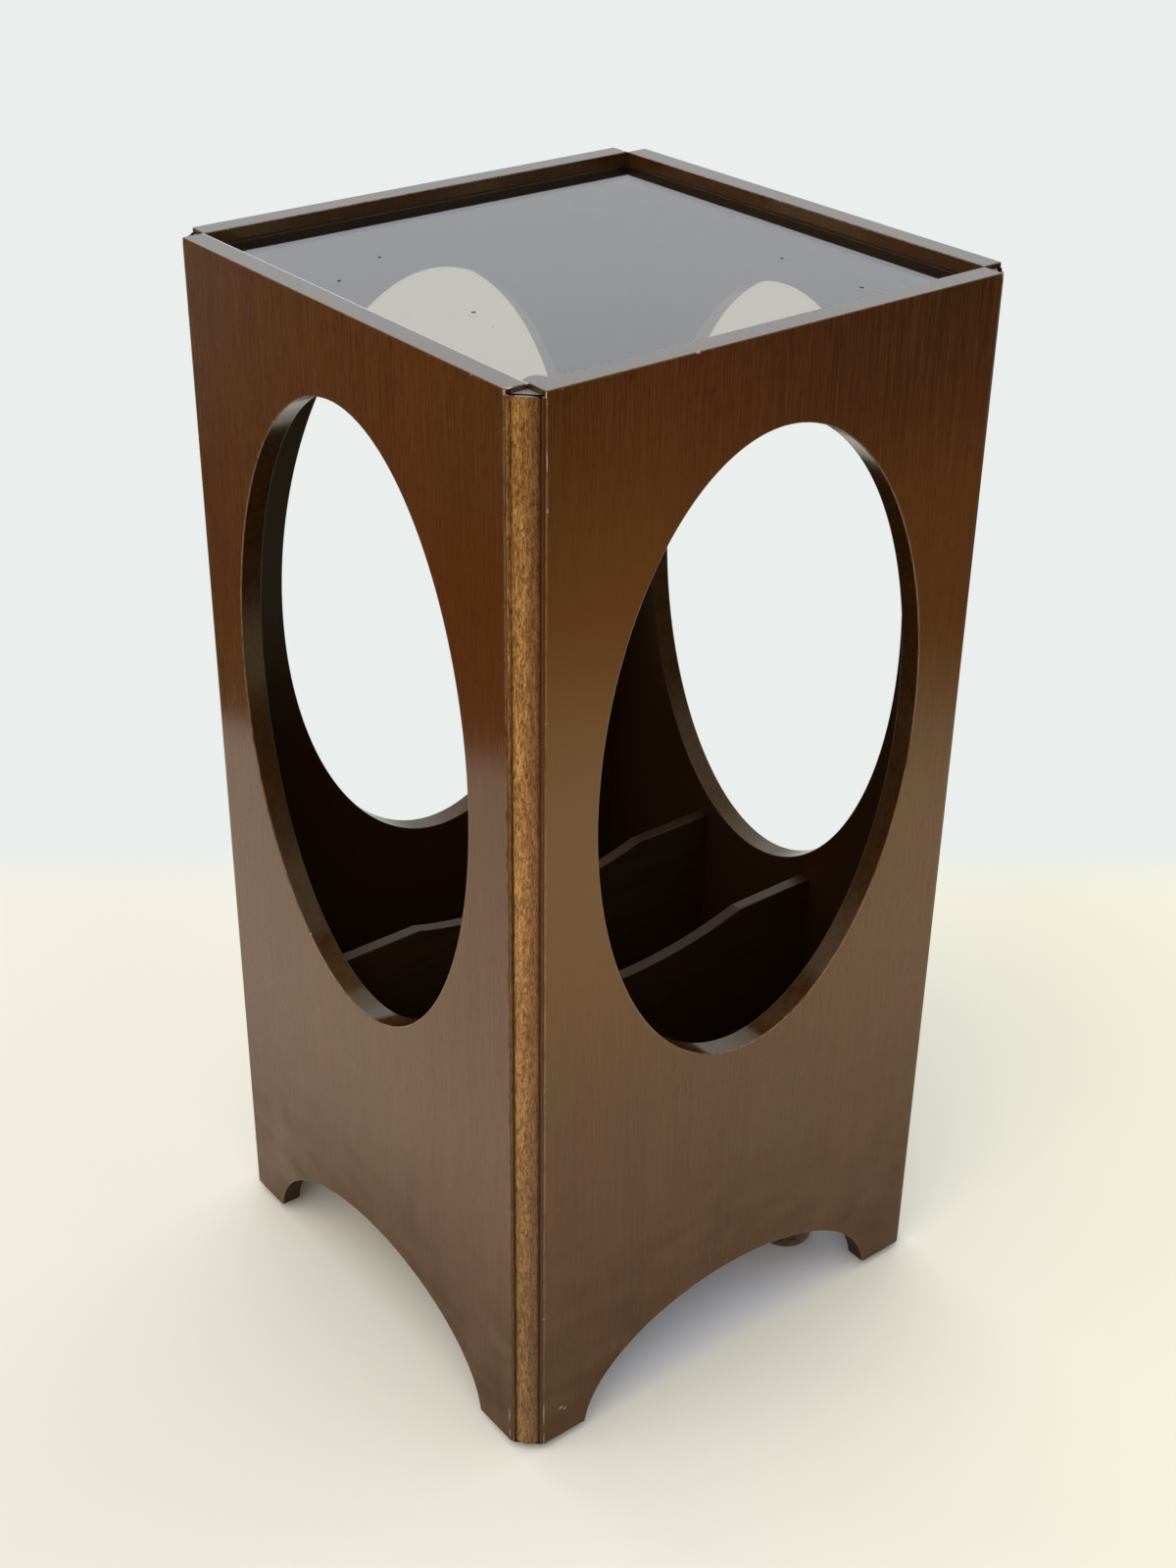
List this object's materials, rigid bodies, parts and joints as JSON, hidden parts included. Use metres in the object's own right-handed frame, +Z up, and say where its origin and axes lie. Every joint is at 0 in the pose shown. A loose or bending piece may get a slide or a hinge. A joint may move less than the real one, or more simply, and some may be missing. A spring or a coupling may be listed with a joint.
{
  "type": "record rack side table",
  "caption": "Square wooden side table on castors with oval cut-outs in its panels, an inset smoked glass top and divided bays for records.",
  "frame": {"origin": "on the floor under the middle of the table", "axes": "+Z up, front panel faces -Y, left panel faces -X"},
  "size_m": [0.355, 0.355, 0.731],
  "materials": {
    "panel_veneer": "satin lacquer over dark brown stained veneer",
    "post_wood": "satin, open pores, lighter brown",
    "inside_board": "dark brown stain, satin",
    "block_wood": "plain sawn softwood",
    "smoked_glass": "polished smoked grey glass",
    "bumper_rubber": "matte grey",
    "castor_plastic": "dark brown moulded plastic",
    "castor_steel": "zinc plated"
  },
  "bodies": {
    "rack": {"front_panel": "panel_veneer", "back_panel": "panel_veneer", "left_panel": "panel_veneer", "right_panel": "panel_veneer", "base_shelf": "inside_board", "front_divider": "inside_board", "rear_divider": "inside_board", "front_left_post": "post_wood", "front_left_glass_block": "inside_board", "front_left_glass_bumper": "bumper_rubber", "front_left_castor_block": "block_wood", "front_left_castor_plate": "castor_steel", "front_left_castor_screw_1": "castor_steel", "front_left_castor_screw_2": "castor_steel", "front_left_castor_screw_3": "castor_steel", "front_left_castor_screw_4": "castor_steel", "front_right_post": "post_wood", "front_right_glass_block": "inside_board", "front_right_glass_bumper": "bumper_rubber", "front_right_castor_block": "block_wood", "front_right_castor_plate": "castor_steel", "front_right_castor_screw_1": "castor_steel", "front_right_castor_screw_2": "castor_steel", "front_right_castor_screw_3": "castor_steel", "front_right_castor_screw_4": "castor_steel", "back_right_post": "post_wood", "back_right_glass_block": "inside_board", "back_right_glass_bumper": "bumper_rubber", "back_right_castor_block": "block_wood", "back_right_castor_plate": "castor_steel", "back_right_castor_screw_1": "castor_steel", "back_right_castor_screw_2": "castor_steel", "back_right_castor_screw_3": "castor_steel", "back_right_castor_screw_4": "castor_steel", "back_left_post": "post_wood", "back_left_glass_block": "inside_board", "back_left_glass_bumper": "bumper_rubber", "back_left_castor_block": "block_wood", "back_left_castor_plate": "castor_steel", "back_left_castor_screw_1": "castor_steel", "back_left_castor_screw_2": "castor_steel", "back_left_castor_screw_3": "castor_steel", "back_left_castor_screw_4": "castor_steel"},
    "glass": {"glass_top": "smoked_glass"},
    "front_left_castor": {"front_left_castor_hood": "castor_plastic", "front_left_castor_axle": "castor_steel"},
    "front_left_castor_left_wheel": {"front_left_castor_left_wheel": "castor_plastic"},
    "front_left_castor_right_wheel": {"front_left_castor_right_wheel": "castor_plastic"},
    "front_right_castor": {"front_right_castor_hood": "castor_plastic", "front_right_castor_axle": "castor_steel"},
    "front_right_castor_left_wheel": {"front_right_castor_left_wheel": "castor_plastic"},
    "front_right_castor_right_wheel": {"front_right_castor_right_wheel": "castor_plastic"},
    "back_right_castor": {"back_right_castor_hood": "castor_plastic", "back_right_castor_axle": "castor_steel"},
    "back_right_castor_left_wheel": {"back_right_castor_left_wheel": "castor_plastic"},
    "back_right_castor_right_wheel": {"back_right_castor_right_wheel": "castor_plastic"},
    "back_left_castor": {"back_left_castor_hood": "castor_plastic", "back_left_castor_axle": "castor_steel"},
    "back_left_castor_left_wheel": {"back_left_castor_left_wheel": "castor_plastic"},
    "back_left_castor_right_wheel": {"back_left_castor_right_wheel": "castor_plastic"}
  },
  "joints": [
    {"name": "glass_lift", "type": "slide", "parent": "rack", "child": "glass", "axis": [0, 0, 1], "range_m": [0, 0.1]},
    {"name": "front_left_castor_swivel", "type": "hinge", "parent": "rack", "child": "front_left_castor", "pos_m": [-0.0975, -0.0975, 0.05], "axis": [0, 0, 1], "continuous": true},
    {"name": "front_left_castor_left_wheel_roll", "type": "hinge", "parent": "front_left_castor", "child": "front_left_castor_left_wheel", "pos_m": [-0.0875, -0.11482, 0.02479], "axis": [0.866, 0.5, 0], "continuous": true},
    {"name": "front_left_castor_right_wheel_roll", "type": "hinge", "parent": "front_left_castor", "child": "front_left_castor_right_wheel", "pos_m": [-0.0875, -0.11482, 0.02479], "axis": [0.866, 0.5, 0], "continuous": true},
    {"name": "front_right_castor_swivel", "type": "hinge", "parent": "rack", "child": "front_right_castor", "pos_m": [0.0975, -0.0975, 0.05], "axis": [0, 0, 1], "continuous": true},
    {"name": "front_right_castor_left_wheel_roll", "type": "hinge", "parent": "front_right_castor", "child": "front_right_castor_left_wheel", "pos_m": [0.1075, -0.11482, 0.02479], "axis": [0.866, 0.5, 0], "continuous": true},
    {"name": "front_right_castor_right_wheel_roll", "type": "hinge", "parent": "front_right_castor", "child": "front_right_castor_right_wheel", "pos_m": [0.1075, -0.11482, 0.02479], "axis": [0.866, 0.5, 0], "continuous": true},
    {"name": "back_right_castor_swivel", "type": "hinge", "parent": "rack", "child": "back_right_castor", "pos_m": [0.0975, 0.0975, 0.05], "axis": [0, 0, 1], "continuous": true},
    {"name": "back_right_castor_left_wheel_roll", "type": "hinge", "parent": "back_right_castor", "child": "back_right_castor_left_wheel", "pos_m": [0.1075, 0.08018, 0.02479], "axis": [0.866, 0.5, 0], "continuous": true},
    {"name": "back_right_castor_right_wheel_roll", "type": "hinge", "parent": "back_right_castor", "child": "back_right_castor_right_wheel", "pos_m": [0.1075, 0.08018, 0.02479], "axis": [0.866, 0.5, 0], "continuous": true},
    {"name": "back_left_castor_swivel", "type": "hinge", "parent": "rack", "child": "back_left_castor", "pos_m": [-0.0975, 0.0975, 0.05], "axis": [0, 0, 1], "continuous": true},
    {"name": "back_left_castor_left_wheel_roll", "type": "hinge", "parent": "back_left_castor", "child": "back_left_castor_left_wheel", "pos_m": [-0.0875, 0.08018, 0.02479], "axis": [0.866, 0.5, 0], "continuous": true},
    {"name": "back_left_castor_right_wheel_roll", "type": "hinge", "parent": "back_left_castor", "child": "back_left_castor_right_wheel", "pos_m": [-0.0875, 0.08018, 0.02479], "axis": [0.866, 0.5, 0], "continuous": true}
  ]
}
